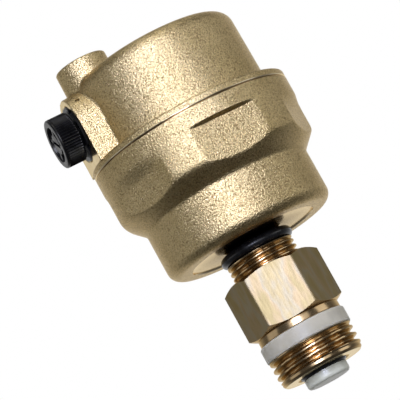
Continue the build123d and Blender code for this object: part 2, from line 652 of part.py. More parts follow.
with BuildPart() as bracket_screws:
    head_x = plate_x + BRACKET_THICKNESS + 0.02
    screw_plane = Plane(origin=(head_x, 0, BOSS_Z), x_dir=(0, 1, 0), z_dir=(1, 0, 0))
    with BuildSketch(screw_plane):
        with Locations(*SCREW_PLACES):
            Circle(SCREW_HEAD_R)
    extrude(amount=SCREW_HEAD_HEIGHT)
    with BuildSketch(screw_plane):
        with Locations(*SCREW_PLACES):
            Circle(SCREW_R)
    extrude(amount=-BRACKET_THICKNESS - SCREW_DEPTH + 0.1)
bracket_screws.part.label = "bracket_screws"

# ---------------------------------------------------------------- export
pieces = (
    valve_body,
    sealing_ring,
    shutter,
    shutter_o_ring,
    spring_retainer,
    shutter_spring,
    spigot_o_ring,
    float_chamber,
    cover,
    cover_o_ring,
    valve_insert,
    insert_o_rings,
    vent_cap,
    cap_o_ring,
    float_shell,
    float_lid,
    float_hook,
    lever,
    lever_pad,
    lever_pin,
    lever_bracket,
    bracket_screws,
)
for piece in pieces:
    export_step(piece.part, f"parts/{piece.part.label}.step")
print(f"float travel {float_travel:.3f} mm, lever swing {swing} degrees")
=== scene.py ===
"""Looks of an automatic air vent: forged brass housing, hexagonal shut-off valve, black vent cap.

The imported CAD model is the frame. Lengths here are in mm, turned to metres as a mesh is made.
"""
import math

import bmesh
import bpy
import numpy as np
from mathutils import Matrix, Vector


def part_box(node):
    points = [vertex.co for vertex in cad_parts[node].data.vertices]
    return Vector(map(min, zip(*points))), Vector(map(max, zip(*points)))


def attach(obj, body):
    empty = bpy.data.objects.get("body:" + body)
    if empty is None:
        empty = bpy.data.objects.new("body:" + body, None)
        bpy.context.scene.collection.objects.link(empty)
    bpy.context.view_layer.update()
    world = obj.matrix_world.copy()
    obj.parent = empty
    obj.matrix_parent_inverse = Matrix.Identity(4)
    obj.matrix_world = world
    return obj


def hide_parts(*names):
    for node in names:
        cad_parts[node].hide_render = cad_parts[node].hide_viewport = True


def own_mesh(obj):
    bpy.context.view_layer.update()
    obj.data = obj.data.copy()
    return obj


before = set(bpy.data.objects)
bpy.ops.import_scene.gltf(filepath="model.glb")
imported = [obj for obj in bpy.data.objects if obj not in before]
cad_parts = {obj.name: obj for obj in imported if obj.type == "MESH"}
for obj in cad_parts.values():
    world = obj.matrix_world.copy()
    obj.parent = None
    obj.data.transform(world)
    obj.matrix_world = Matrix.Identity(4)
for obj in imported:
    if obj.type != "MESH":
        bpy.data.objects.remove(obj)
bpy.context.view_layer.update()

MM = 0.001


def span(node):
    """Lowest and highest corner of a CAD node, in mm."""
    low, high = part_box(node)
    return np.array(low) / MM, np.array(high) / MM


# ---------------------------------------------------------------- sizes
chamber_low, chamber_high = span("float_chamber")
cover_low, cover_high = span("cover")
valve_high = span("valve_body")[1]
cap_low, cap_high = span("vent_cap")
spring_low, spring_high = span("shutter_spring")

# pipe threads: pitch, depth of a 55 degree thread over its pitch, steepness of its flanks and
# width of its crest; over how far it runs in and, in pitches, out; the outline's steps along it
G12_PITCH, G38_PITCH = 1.814, 1.337
THREAD_DEPTH_RATIO, THREAD_FLANK, THREAD_CREST = 0.6403, 2.7, 0.24
THREAD_EARLY, THREAD_RUN_IN, THREAD_RUN_OUT = 0.2, 0.5, 0.6
G12_STEP, G38_STEP = 0.1, 0.12

# shut-off valve
G12_R = 20.955 / 2
NOSE_R, NOSE_TOP = G12_R - 0.9, 0.55
LEAD_IN_R, LEAD_IN = G12_R - 0.35, 1.2
THREAD_TOP, RING_TOP = 6.6, 10.6
RING_GROOVE_R, SHANK_R = 9.2, 10.25
HEX_APOTHEM = 10.5
HEX_CORNER_R = HEX_APOTHEM / math.cos(math.radians(30))
HEX_LOW, HEX_HIGH = 12.3, valve_high[2]
HEX_TURN = math.radians(-15.6)
HEX_FACET, HEX_SIDE_POINTS = math.radians(0.55), 40
HEX_BEVEL_R = 10.2
BEVEL = math.tan(math.radians(30))
HEX_CORNER_RISE = (HEX_CORNER_R - HEX_BEVEL_R) * BEVEL
SEAT_MOUTH_R, SEAT_THROAT_R, SEAT_HEIGHT = 6.6, 4.5, 2.4
WEB_TOP, SPRING_BORE_R = 7.0, 6.5

# spigot and float chamber
G38_R, G38_NOSE = 16.662 / 2, 0.9
SOCKET_LOW, SOCKET_R = 13.5, G38_R + 0.05
SPIGOT_END = chamber_low[2]
SPIGOT_BORE_R, SPIGOT_THREAD_TOP = 5.0, 30.3
NECK_R = 6.55
CHAMBER_LOW = 33.6
FACE_R, FACE_EDGE, FACE_RECESS = 15.6, 0.1, 0.3
CHAMBER_R = 20.85
CONE_LOW, CONE_HIGH = 46.2, 50.4
FLANGE_R = chamber_high[0]
SEAM_Z = chamber_high[2]
SEAM_EDGE = 0.28
FLOOR_TOP, CHAMBER_BORE_R = 36.2, 18.65
SKIRT_BORE_R, SKIRT_FLOOR = 21.4, 54.6
FLAT_COUNT, FLAT_TOP, FLAT_SOFTNESS = 6, 59.15, 0.15
FLAT_TURN = math.radians(-26.2)
FLAT_APOTHEM = FLANGE_R * math.cos(math.radians(20))
# one of the flats ends in a sharp ledge, and the others fade out
SHARP_FLAT, SHARP_LEDGE, SOFT_LEDGE = 5, 0.8, 4.5
# points round the chamber, and (from, to, step) heights of its extra rows beside the flats
CHAMBER_ANGLES = 432
FLAT_ROWS = ((46.4, 54.0, 0.25), (54.0, 58.0, 0.4), (58.0, 59.6, 0.08))

# cover, its side boss along -X and the chimney on it
FLANGE_TOP, COVER_TOP = 64.9, 84.3
COVER_BASE_R, COVER_TOP_R, COVER_EDGE = 20.85, 20.55, 3.5
COVER_FILLET, COVER_OVERLAP = 0.4, 0.4
COVER_CELL, COVER_GRID_SHIFT, COVER_MARGIN = 0.3, 0.013, 1.0
COVER_BORE_R, COVER_ROOF, ROOF_BEVEL = 18.5, 82.0, 2.5
SKIRT_R, SKIRT_LOW = 21.3, cover_low[2]
FLANGE_INSIDE_R, FLANGE_LOW, FLANGE_ANGLES = COVER_BORE_R - 1.5, SEAM_Z + 0.02, 360
COVER_RING_Z, COVER_RING_HALF, COVER_RING_FLOOR = 61.8, 0.75, 20.0
BOSS_Z, BOSS_HALF_WIDTH, BOSS_FRONT, BOSS_BACK = 74.0, 9.0, -24.15, -10.0
BOSS_NARROWING, BOSS_DRAFT, BOSS_EDGE = 0.5, 0.1, 0.25
BLOCK_R, BLOCK_OUTER, BLOCK_INNER, BORES_INNER = 8.6, -18.6, -8.6, -7.0
INSERT_BORE_R, MOUTH_BEVEL, MOUTH_FACED_R = 6.88, 0.4, 7.93
CHIMNEY_X, CHIMNEY_R, CHIMNEY_BORE_R = -15.6, 6.45, 3.5
CHIMNEY_NARROWING, CHIMNEY_DRAFT, CHIMNEY_EDGE = 0.12, 0.012, 0.5
CHIMNEY_TOP = cover_high[2]
DIMPLE_X, DIMPLE_TILT, DIMPLE_R, DIMPLE_DEPTH = -21.8, 48.0, 0.6, 0.6

# tools: how far they stand out of what they cut, the radius that closes them at their axis, the
# points round them, and the distance within which the cut cover's points are merged
BEYOND, AXIS_R, TOOL_ANGLES, WELD_REACH = 1.0, 0.01, 180, 0.004

# vent cap, turned about the boss's axis
KNOB_R = 6.03
KNOB_OUTER, KNOB_INNER = cap_low[0], -24.9
KNURL_COUNT, KNURL_POINTS, KNURL_DEPTH, KNURL_STEP = 54, 8, 0.36, 0.12
KNURL_START, KNURL_END = KNOB_OUTER + 0.5, KNOB_INNER - 0.25
KNURL_RUN_IN, KNURL_RUN_OUT = 0.25, 0.2
HUB_R, HUB_RECESS = 2.5, 0.25
DISH_IN_R, DISH_OUT_R, DISH_RIM_R, DISH_DEPTH = 2.7, 4.1, 4.35, 1.0
CAP_STEM_R, CAP_TIP_R, CAP_TIP_BEVEL = 3.1, 1.9, 0.9
CAP_RING_X, CAP_RING_HALF, CAP_RING_DEPTH = -20.5, 0.6, 1.0
# screwdriver slot and four bridges over the dish: (thickness, length, width), and where they are
SLOT_TURN, SLOT_SIZE, SLOT_MIDDLE = 35, (1.6, 4.6, 0.9), 0.25
BRIDGE_R, BRIDGE_SIZE, BRIDGE_MIDDLE = 3.4, (1.0, 1.7, 0.9), 0.75

# shutter spring: wire, turns in all, and the dead turns that lie against each end
SPRING_WIRE_R, SPRING_TURNS, SPRING_DEAD = 0.35, 7.5, 0.8
SPRING_POINTS, SPRING_SIDES = 480, 14


# ---------------------------------------------------------------- camera, lights and floor
CAMERA_AZIMUTH, CAMERA_ELEVATION, CAMERA_ROLL = -14.5, -9.9, -29.0
CAMERA_LENS, SENSOR = 275.5, 36.0
CAMERA_DISTANCE = 704.3
AIM_SIDEWAYS, AIM_HEIGHT = -6.04, 47.9
# the camera's range in m; the floor's depth in mm, its width in m, and its own light
NEAREST, FARTHEST = 0.05, 20
FLOOR_DROP, FLOOR_SIZE, FLOOR_GLOW = 300.0, 6.0, 0.8
# (place, brightness) of the surroundings from before the object to behind it, and how they dim
# below it: from and to which slope of a ray, and from and to which share
SURROUNDINGS = ((0.0, 0.08), (0.5, 0.12), (0.72, 0.17), (0.86, 0.45), (0.94, 0.82), (1.0, 0.92))
DIMMED_BELOW = (-0.8, -0.35, 0.5, 1.0)
# name, azimuth, elevation, distance, width and height in m, watts, colour
SOFTBOXES = (
    ("key", -16, 14, 0.9, 0.32, 0.5, 6.0, (0.92, 0.985, 1.38)),
    ("front", -10, 8, 0.95, 1.0, 0.8, 2.4, (1, 1, 1)),
    ("left", -95, 10, 1.2, 0.8, 0.8, 1.2, (1, 1, 1)),
    ("right", 62, 10, 1.2, 0.7, 0.8, 2.1, (1, 1, 1)),
    ("top", 20, 72, 1.0, 0.5, 0.5, 2.2, (1, 1, 1)),
)


def direction(azimuth, elevation):
    """Unit vector from the object to a place at that azimuth and elevation, in degrees."""
    a, e = math.radians(azimuth), math.radians(elevation)
    return Vector((math.sin(a) * math.cos(e), -math.cos(a) * math.cos(e), math.sin(e)))


def add_camera():
    back = direction(CAMERA_AZIMUTH, CAMERA_ELEVATION)
    right = direction(CAMERA_AZIMUTH + 90, 0)
    up = back.cross(right)
    roll = math.radians(CAMERA_ROLL)
    camera_x = right * math.cos(roll) + up * math.sin(roll)
    camera_y = up * math.cos(roll) - right * math.sin(roll)
    target = right * AIM_SIDEWAYS + Vector((0, 0, AIM_HEIGHT))
    place = (target + back * CAMERA_DISTANCE) * MM
    camera = bpy.data.objects.new("camera", bpy.data.cameras.new("camera"))
    bpy.context.scene.collection.objects.link(camera)
    turn = Matrix((camera_x, camera_y, back)).transposed()
    camera.matrix_world = Matrix.Translation(place) @ turn.to_4x4()
    camera.data.lens = CAMERA_LENS
    camera.data.sensor_width = SENSOR
    camera.data.clip_start, camera.data.clip_end = NEAREST, FARTHEST
    bpy.context.scene.camera = camera


def add_softbox(name, azimuth, elevation, distance, width, height, watts, colour):
    """A rectangular area light that faces the middle of the object."""
    data = bpy.data.lights.new(name, "AREA")
    data.shape = "RECTANGLE"
    data.size, data.size_y = width, height
    data.energy = watts
    data.color = colour
    light = bpy.data.objects.new(name, data)
    bpy.context.scene.collection.objects.link(light)
    back = direction(azimuth, elevation)
    light.location = back * distance + Vector((0, 0, AIM_HEIGHT * MM))
    light.rotation_mode = "QUATERNION"
    light.rotation_quaternion = (-back).to_track_quat("-Z", "Y")


def remapped(tree, source, from_low, from_high, to_low, to_high):
    """Source taken from one range of values to another, and held to it."""
    node = tree.nodes.new("ShaderNodeMapRange")
    numbers = (from_low, from_high, to_low, to_high)
    for socket, value in zip(("From Min", "From Max", "To Min", "To Max"), numbers):
        node.inputs[socket].default_value = value
    tree.links.new(source, node.inputs["Value"])
    return node.outputs["Result"]


def add_world():
    """White for the camera; to light and reflections dark in front, pale behind, dimmer below."""
    world = bpy.data.worlds.new("studio")
    world.use_nodes = True
    tree = world.node_tree
    tree.nodes.clear()
    coordinates = tree.nodes.new("ShaderNodeTexCoord")
    facing = tree.nodes.new("ShaderNodeVectorMath")
    facing.operation = "DOT_PRODUCT"
    facing.inputs[1].default_value = -direction(CAMERA_AZIMUTH, 0)
    tree.links.new(coordinates.outputs["Generated"], facing.inputs[0])
    shade = tree.nodes.new("ShaderNodeValToRGB")
    fill_ramp(shade.color_ramp, [(place, (level,) * 3) for place, level in SURROUNDINGS])
    behind = remapped(tree, facing.outputs["Value"], -1, 1, 0, 1)
    tree.links.new(behind, shade.inputs["Fac"])
    parts = tree.nodes.new("ShaderNodeSeparateXYZ")
    tree.links.new(coordinates.outputs["Generated"], parts.inputs[0])
    strength = remapped(tree, parts.outputs["Z"], *DIMMED_BELOW)
    lit = tree.nodes.new("ShaderNodeBackground")
    tree.links.new(shade.outputs["Color"], lit.inputs["Color"])
    tree.links.new(strength, lit.inputs["Strength"])
    seen = tree.nodes.new("ShaderNodeBackground")
    seen.inputs["Color"].default_value = (1, 1, 1, 1)
    path = tree.nodes.new("ShaderNodeLightPath")
    mix = tree.nodes.new("ShaderNodeMixShader")
    output = tree.nodes.new("ShaderNodeOutputWorld")
    tree.links.new(path.outputs["Is Camera Ray"], mix.inputs["Fac"])
    tree.links.new(lit.outputs["Background"], mix.inputs[1])
    tree.links.new(seen.outputs["Background"], mix.inputs[2])
    tree.links.new(mix.outputs["Shader"], output.inputs["Surface"])
    bpy.context.scene.world = world


def add_floor():
    """A pale floor far below, which the pieces neither mirror nor are lit by."""
    bpy.ops.mesh.primitive_plane_add(size=FLOOR_SIZE, location=(0, 0, -FLOOR_DROP * MM))
    floor = bpy.context.object
    floor.name = "floor"
    pale = Surface("pale_floor")
    pale.constant("Base Color", (0.86, 0.86, 0.85, 1))
    pale.constant("Roughness", 0.9)
    pale.constant("Emission Color", (1, 1, 1, 1))
    pale.constant("Emission Strength", FLOOR_GLOW)
    floor.data.materials.append(pale.material)
    floor.visible_glossy = False
    floor.visible_diffuse = False


# ---------------------------------------------------------------- materials
def fill_ramp(ramp, stops):
    """Give a colour ramp its (place, (red, green, blue)) stops."""
    while len(ramp.elements) < len(stops):
        ramp.elements.new(0.5)
    for element, (place, colour) in zip(ramp.elements, stops):
        element.position = place
        element.color = (*colour, 1)


class Surface:
    """A material with one Principled shader, and short ways to add procedural textures to it."""

    def __init__(self, name, metallic=0.0, specular=0.5, coat=0.0, edge=(1, 1, 1)):
        self.material = bpy.data.materials.new(name)
        self.material.use_nodes = True
        self.tree = self.material.node_tree
        self.shader = next(n for n in self.tree.nodes if n.type == "BSDF_PRINCIPLED")
        self.coordinates = self.add("ShaderNodeTexCoord").outputs["Object"]
        self.constant("Metallic", metallic)
        self.constant("Specular IOR Level", specular)
        self.constant("Coat Weight", coat)
        self.constant("Specular Tint", (*edge, 1))

    def constant(self, socket, value):
        self.shader.inputs[socket].default_value = value

    def add(self, kind):
        return self.tree.nodes.new(kind)

    def link(self, source, socket):
        self.tree.links.new(source, socket)

    def stretched(self, scale):
        """Object coordinates times (x, y, z)."""
        mapping = self.add("ShaderNodeMapping")
        mapping.inputs["Scale"].default_value = scale
        self.link(self.coordinates, mapping.inputs["Vector"])
        return mapping.outputs["Vector"]

    def turned(self, around):
        """Coordinates for a turned part: (radius, angle times around in mm, height)."""
        parts = self.add("ShaderNodeSeparateXYZ")
        self.link(self.coordinates, parts.inputs[0])
        flat = self.add("ShaderNodeVectorMath")
        flat.operation = "MULTIPLY"
        flat.inputs[1].default_value = (1, 1, 0)
        self.link(self.coordinates, flat.inputs[0])
        length = self.add("ShaderNodeVectorMath")
        length.operation = "LENGTH"
        self.link(flat.outputs["Vector"], length.inputs[0])
        angle = self.maths("ARCTAN2", parts.outputs["Y"], parts.outputs["X"])
        combined = self.add("ShaderNodeCombineXYZ")
        self.link(length.outputs["Value"], combined.inputs["X"])
        self.link(self.maths("MULTIPLY", angle, around * MM), combined.inputs["Y"])
        self.link(parts.outputs["Z"], combined.inputs["Z"])
        return combined.outputs["Vector"]

    def maths(self, operation, first, second):
        node = self.add("ShaderNodeMath")
        node.operation = operation
        for socket, value in zip(node.inputs, (first, second)):
            if isinstance(value, (int, float)):
                socket.default_value = value
            else:
                self.link(value, socket)
        return node.outputs["Value"]

    def noise(self, per_mm, detail=2.0, roughness=0.5, vector=None):
        """Noise with that many features per mm."""
        node = self.add("ShaderNodeTexNoise")
        node.inputs["Scale"].default_value = per_mm / MM
        node.inputs["Detail"].default_value = detail
        node.inputs["Roughness"].default_value = roughness
        self.link(vector or self.coordinates, node.inputs["Vector"])
        return node.outputs["Fac"]

    def cells(self, per_mm):
        """Distance to the nearest of scattered points, with that many points per mm."""
        node = self.add("ShaderNodeTexVoronoi")
        node.feature = "SMOOTH_F1"
        node.inputs["Scale"].default_value = per_mm / MM
        node.inputs["Smoothness"].default_value = 0.4
        self.link(self.coordinates, node.inputs["Vector"])
        return node.outputs["Distance"]

    def ramp(self, source, *stops):
        node = self.add("ShaderNodeValToRGB")
        fill_ramp(node.color_ramp, stops)
        self.link(source, node.inputs["Fac"])
        return node.outputs["Color"]

    def mixed(self, share, first, second, blend="MIX"):
        node = self.add("ShaderNodeMix")
        node.data_type = "RGBA"
        node.blend_type = blend
        sockets = (node.inputs[0], node.inputs[6], node.inputs[7])
        for socket, value in zip(sockets, (share, first, second)):
            if isinstance(value, (int, float)):
                socket.default_value = value
            elif isinstance(value, tuple):
                socket.default_value = (*value, 1)
            else:
                self.link(value, socket)
        return node.outputs[2]

    def levels(self, source, low, high):
        """Noise, most of it between 0.3 and 0.7, turned into a value from low to high."""
        return remapped(self.tree, source, 0.3, 0.7, low, high)

    def clouds(self, per_mm, detail, first, second, low, high):
        """Faint clouds: colour from the first stop to the second, roughness from low to high."""
        clouds = self.noise(per_mm, detail)
        self.colour(self.ramp(clouds, first, second))
        self.roughness(self.levels(clouds, low, high))

    def translucent(self, weight, radius, scale):
        self.constant("Subsurface Weight", weight)
        self.constant("Subsurface Radius", radius)
        self.constant("Subsurface Scale", scale * MM)

    def painted_crease_shade(self, reach, dark):
        """Painted shade from ambient occlusion: white on open faces, dark in creases narrower than
        reach in mm.
        """
        node = self.add("ShaderNodeAmbientOcclusion")
        node.samples = 8
        node.inputs["Distance"].default_value = reach * MM
        return self.ramp(node.outputs["AO"], (0.30, dark), (0.72, (1.0, 1.0, 1.0)))

    def colour(self, source):
        self.link(source, self.shader.inputs["Base Color"])

    def roughness(self, source):
        self.link(source, self.shader.inputs["Roughness"])

    def bump(self, *layers):
        """Bumps from (height, strength, depth in mm) layers, one over the other."""
        normal = None
        for height, strength, depth in layers:
            node = self.add("ShaderNodeBump")
            node.inputs["Strength"].default_value = strength
            node.inputs["Distance"].default_value = depth * MM
            self.link(height, node.inputs["Height"])
            if normal:
                self.link(normal, node.inputs["Normal"])
            normal = node.outputs["Normal"]
        self.link(normal, self.shader.inputs["Normal"])
        self.link(normal, self.shader.inputs["Coat Normal"])


BRASS_EDGE = (0.90, 0.78, 0.57)
# radii, in metres, over which the painted shadow near the axis fades to the brass's own colour
PAINTED_SHADOW_REACH = (8.5 * MM, 14.5 * MM)


def blasted_brass():
    """Hot-forged brass, shot-blasted to a coarse bright grain."""
    surface = Surface("blasted_brass", metallic=1.0, coat=0.38, edge=BRASS_EDGE)
    surface.constant("Coat Roughness", 0.3)
    grain = surface.noise(2.9, detail=2.0, roughness=0.6)
    fine = surface.noise(6.5, detail=1.5, roughness=0.6)
    dimples = surface.cells(2.2)
    patches = surface.noise(0.07, detail=3)
    tint = surface.ramp(patches, (0.35, (0.65, 0.505, 0.245)), (0.65, (0.74, 0.585, 0.31)))
    pits = surface.ramp(
        grain,
        (0.36, (0.34, 0.26, 0.17)),
        (0.50, (0.95, 0.93, 0.89)),
        (0.62, (1.0, 1.0, 1.0)),
    )
    metal = surface.mixed(0.8, tint, pits, "MULTIPLY")
    # painted shade: creases narrower than 1.8 mm are darkened, multiplied into the colour below
    painted_crease_shade = surface.painted_crease_shade(1.8, (0.30, 0.29, 0.27))
    surface.colour(surface.mixed(1.0, metal, painted_crease_shade, "MULTIPLY"))
    surface.roughness(surface.levels(fine, 0.24, 0.36))
    surface.bump((dimples, 0.6, 0.08), (grain, 1.0, 0.19), (fine, 0.7, 0.055))
    return surface.material


def turned_brass(name, dark, light, painted_shadow=None):
    """Brass turned on a lathe, with fine tool marks round it; the last argument, if given, is a
    painted shadow colour near the axis.
    """
    surface = Surface(name, metallic=1.0, edge=BRASS_EDGE)
    around = surface.turned(0.02)
    marks = surface.noise(14.0, detail=3, vector=around)
    patches = surface.noise(0.25, detail=3)
    metal = surface.ramp(patches, (0.3, dark), (0.7, light))
    # painted shadow: towards the axis the colour fades into the given shadow colour
    if painted_shadow:
        parts = surface.add("ShaderNodeSeparateXYZ")
        surface.link(around, parts.inputs[0])
        out_of_shadow = remapped(surface.tree, parts.outputs["X"], *PAINTED_SHADOW_REACH, 0, 1)
        metal = surface.mixed(out_of_shadow, painted_shadow, metal)
    surface.colour(metal)
    surface.roughness(surface.levels(marks, 0.12, 0.26))
    surface.bump((marks, 0.25, 0.01))
    return surface.material


def drawn_brass():
    """Drawn hexagonal bar: pale, with streaks along its length and a faint play of colours."""
    surface = Surface("drawn_brass", metallic=1.0, edge=BRASS_EDGE)
    streaks = surface.noise(2.4, detail=4, roughness=0.65, vector=surface.stretched((1, 1, 0.12)))
    clouds = surface.noise(0.22, detail=4, vector=surface.stretched((1, 1, 0.35)))
    tint = surface.ramp(
        clouds,
        (0.36, (0.355, 0.275, 0.125)),
        (0.45, (0.385, 0.312, 0.172)),
        (0.51, (0.378, 0.326, 0.216)),
        (0.57, (0.400, 0.305, 0.172)),
        (0.66, (0.350, 0.278, 0.132)),
    )
    dark = surface.ramp(streaks, (0.3, (0.72, 0.69, 0.66)), (0.6, (1.0, 1.0, 1.0)))
    surface.colour(surface.mixed(0.4, tint, dark, "MULTIPLY"))
    surface.roughness(surface.levels(streaks, 0.46, 0.56))
    surface.bump((streaks, 0.2, 0.008))
    return surface.material


def white_nylon():
    """Warm white, translucent plastic of the sealing ring."""
    surface = Surface("white_nylon", specular=0.35)
    pale, light = (0.49, 0.455, 0.345), (0.57, 0.53, 0.41)
    surface.clouds(0.35, 3, (0.35, pale), (0.65, light), 0.32, 0.44)
    surface.bump((surface.noise(5.0, vector=surface.turned(0.1)), 0.2, 0.015))
    surface.translucent(0.85, (1.0, 0.95, 0.9), 2.2)
    return surface.material


def white_plastic():
    """Moulded plastic, off-white and slightly translucent."""
    surface = Surface("white_plastic", coat=0.1)
    pale, light = (0.70, 0.695, 0.54), (0.84, 0.84, 0.68)
    surface.clouds(0.4, 3, (0.35, pale), (0.65, light), 0.28, 0.42)
    surface.bump((surface.noise(2.5), 0.15, 0.02))
    surface.translucent(0.2, (1.0, 1.0, 0.95), 0.5)
    return surface.material


def float_plastic():
    """Moulded plastic of the float, matt and yellowish white."""
    surface = Surface("float_plastic")
    pale, light = (0.70, 0.69, 0.63), (0.79, 0.78, 0.74)
    surface.clouds(0.12, 3, (0.35, pale), (0.65, light), 0.40, 0.55)
    surface.bump((surface.noise(3.0), 0.15, 0.02))
    return surface.material


def black_plastic():
    """Moulded black plastic with a fine spark-eroded texture."""
    surface = Surface("black_plastic", specular=0.3, edge=(1.0, 0.95, 0.8))
    dark, light = (0.003, 0.003, 0.0035), (0.007, 0.007, 0.008)
    surface.clouds(0.5, 3, (0.35, dark), (0.7, light), 0.24, 0.36)
    surface.bump((surface.noise(5.0), 0.25, 0.02))
    return surface.material


def black_rubber():
    """Moulded O-ring rubber with a faint bluish bloom."""
    surface = Surface("black_rubber", specular=0.55)
    dark, bloom = (0.005, 0.005, 0.006), (0.014, 0.015, 0.018)
    surface.clouds(0.6, 4, (0.4, dark), (0.75, bloom), 0.20, 0.34)
    surface.bump((surface.noise(4.0, detail=3), 0.2, 0.02))
    return surface.material


def spring_steel():
    """Drawn steel of the spring, the bracket, its screws and the pin."""
    surface = Surface("spring_steel", metallic=1.0)
    dark, light = (0.50, 0.50, 0.52), (0.66, 0.66, 0.68)
    surface.clouds(0.8, 3, (0.3, dark), (0.7, light), 0.22, 0.38)
    surface.bump((surface.noise(6.0), 0.15, 0.01))
    return surface.material


# ---------------------------------------------------------------- mesh helpers
def finished(thing, body, materials, paint=None, crease=32):
    """Give a piece its materials, its body, and smooth shading broken at crease degrees.

    paint takes the faces' centres in mm and their normals, and returns each face's material index.
    """
    mesh = thing.data
    mesh.materials.clear()
    for material in materials:
        mesh.materials.append(material)
    mesh.polygons.foreach_set("use_smooth", [True] * len(mesh.polygons))
    mesh.set_sharp_from_angle(angle=math.radians(crease))
    index = np.zeros(len(mesh.polygons), np.int32)
    if paint:
        centres = np.zeros(3 * len(mesh.polygons), np.float32)
        normals = np.zeros(3 * len(mesh.polygons), np.float32)
        mesh.polygons.foreach_get("center", centres)
        mesh.polygons.foreach_get("normal", normals)
        index = paint(centres.reshape(-1, 3) / MM, normals.reshape(-1, 3)).astype(np.int32)
    mesh.polygons.foreach_set("material_index", index)
    mesh.update()
    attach(thing, body)


def rounded(*corners, turn=10):
    """Points along an outline of (radius, height) corners; a third value is a corner's fillet."""
    points = []
    for i, corner in enumerate(corners):
        here = np.array(corner[:2], float)
        if len(corner) == 2:
            points.append(here)
            continue
        before = np.array(corners[i - 1][:2]) - here
        after = np.array(corners[(i + 1) % len(corners)][:2]) - here
        before /= np.linalg.norm(before)
        after /= np.linalg.norm(after)
        half = math.acos(np.clip(before @ after, -1, 1)) / 2
        middle = (before + after) / np.linalg.norm(before + after)
        centre = here + middle * corner[2] / math.sin(half)
        spoke = here + before * corner[2] / math.tan(half) - centre
        sweep = math.pi - 2 * half
        if before[0] * after[1] - before[1] * after[0] > 0:
            sweep = -sweep
        steps = max(2, math.ceil(abs(math.degrees(sweep)) / turn))
        for a in np.linspace(0, sweep, steps + 1):
            c, s = math.cos(a), math.sin(a)
            points.append(centre + (c * spoke[0] - s * spoke[1], s * spoke[0] + c * spoke[1]))
    return np.array(points)


def divided(points, low, high, step):
    """The outline, its runs between the heights low and high cut into pieces of at most step."""
    result = []
    for here, after in zip(points, np.roll(points, -1, axis=0)):
        result.append(here)
        inside = min(here[1], after[1]) > low - 1e-6 and max(here[1], after[1]) < high + 1e-6
        count = math.ceil(np.linalg.norm(after - here) / step) if inside else 1
        result += [here + (after - here) * k / count for k in range(1, count)]
    return np.array(result)


def lathe(name, outline, angles, shape=None, place=None, closed=True):
    """Turn an outline of (radius, height) points about the height axis.

    shape changes the (points, angles) arrays of radius and height. place turns x, y and height
    into a position. An outline that isn't closed starts and ends near the axis and is capped.
    """
    radius = np.repeat(outline[:, :1], len(angles), axis=1)
    height = np.repeat(outline[:, 1:], len(angles), axis=1)
    if shape:
        radius, height = shape(angles, radius, height)
    points = np.stack((radius * np.cos(angles), radius * np.sin(angles), height), -1)
    if place:
        points = place(points)
    return tube(name, points, closed)


def tube(name, points, closed):
    """A mesh through rings, the rows of points; the last is joined to the first, or both capped."""
    rows, count = points.shape[:2]
    index = np.arange(rows * count).reshape(rows, count)
    after = np.roll(index, -1, axis=1)
    pairs = [(i, (i + 1) % rows) for i in range(rows if closed else rows - 1)]
    faces = [np.stack((index[i], after[i], after[j], index[j]), -1) for i, j in pairs]
    faces = np.concatenate(faces).tolist()
    if not closed:
        faces += [index[0].tolist(), index[-1].tolist()]
    return mesh_of(name, points.reshape(-1, 3), faces)


def mesh_of(name, points, faces):
    """A mesh object from points in mm and faces, which are lists of corners, turned outward."""
    mesh = bpy.data.meshes.new(name)
    mesh.from_pydata((points * MM).tolist(), [], faces)
    work = bmesh.new()
    work.from_mesh(mesh)
    bmesh.ops.recalc_face_normals(work, faces=work.faces)
    work.to_mesh(mesh)
    work.free()
    thing = bpy.data.objects.new(name, mesh)
    bpy.context.scene.collection.objects.link(thing)
    return thing


def about_boss(points):
    """Points drawn about Z, moved onto the boss's axis with their height along X."""
    return np.stack((points[..., 2], points[..., 0], points[..., 1] + BOSS_Z), -1)


def even_angles(count):
    return np.arange(count) * 2 * math.pi / count


def combine(target, tool, operation):
    """Boolean of two closed meshes; the tool is used up."""
    modifier = target.modifiers.new("boolean", "BOOLEAN")
    modifier.operation = operation
    modifier.solver = "MANIFOLD"
    modifier.object = tool
    scene_now = bpy.context.evaluated_depsgraph_get()
    mesh = bpy.data.meshes.new_from_object(target.evaluated_get(scene_now))
    target.modifiers.clear()
    target.data = mesh
    bpy.data.objects.remove(tool)


def weld(thing, reach):
    """Merge points nearer than reach in mm, which removes the slivers that a boolean leaves."""
    work = bmesh.new()
    work.from_mesh(thing.data)
    bmesh.ops.remove_doubles(work, verts=work.verts, dist=reach * MM)
    bmesh.ops.dissolve_degenerate(work, edges=work.edges, dist=reach * MM)
    work.to_mesh(thing.data)
    work.free()


def thread_form(phase):
    """Share of the full depth, 0 at the crest and 1 at the root, of a rounded pipe thread."""
    flank = np.clip((0.5 - np.abs(phase % 1 - 0.5)) * THREAD_FLANK - THREAD_CREST, 0, 1)
    return eased(flank) * 0.5 + flank * 0.5


def eased(share):
    """A share from 0 to 1, made to start and end gently."""
    return share * share * (3 - 2 * share)


def cut_thread(angles, radius, height, pitch, low, high, above_r):
    """Radius with a right-handed thread cut between two heights into what lies outside above_r."""
    phase = height / pitch - angles / (2 * math.pi)
    fade = np.clip((high - height) / (THREAD_RUN_OUT * pitch), 0, 1)
    fade = fade * np.clip((height - low + THREAD_EARLY) / THREAD_RUN_IN, 0, 1)
    depth = THREAD_DEPTH_RATIO * pitch * thread_form(phase) * fade
    reached = (radius > above_r) & (height < high)
    crest_r = radius.max(initial=0, where=reached & (height > low))
    return np.where(reached, np.minimum(radius, crest_r - depth), radius)


# ---------------------------------------------------------------- dual contouring
# in cells: the step for slopes, and how far a point may move; and the pull to the mean crossing
SLOPE_STEP, LONGEST_MOVE, MEAN_PULL = 0.05, 0.7, 0.06


